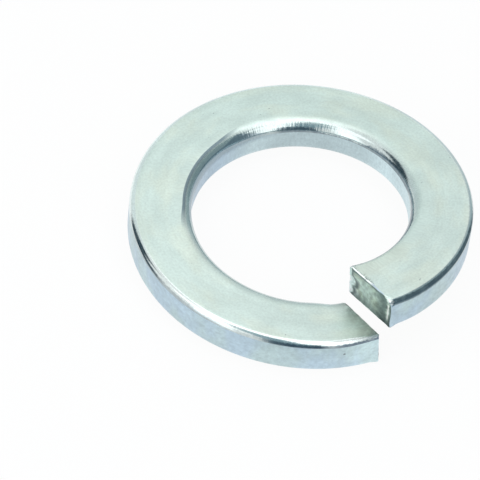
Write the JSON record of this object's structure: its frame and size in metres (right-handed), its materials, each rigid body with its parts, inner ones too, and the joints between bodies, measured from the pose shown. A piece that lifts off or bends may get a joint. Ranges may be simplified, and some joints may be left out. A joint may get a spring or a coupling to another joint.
{
  "type": "spring lock washer",
  "caption": "Split spring lock washer: flat steel wire coiled left-handed, with rolled edges, a slanted cut and one raised end.",
  "frame": {"origin": "on the bore's axis, at the height of the lower end's lowest corner", "axes": "+Z along the bore's axis, up; the split faces -Y, with the raised end on its +X side"},
  "size_m": [0.0334, 0.0334, 0.0082],
  "materials": {
    "zinc_steel": "satin zinc plate over spring steel"
  },
  "bodies": {
    "root": {"spring_washer": "zinc_steel"}
  },
  "joints": []
}
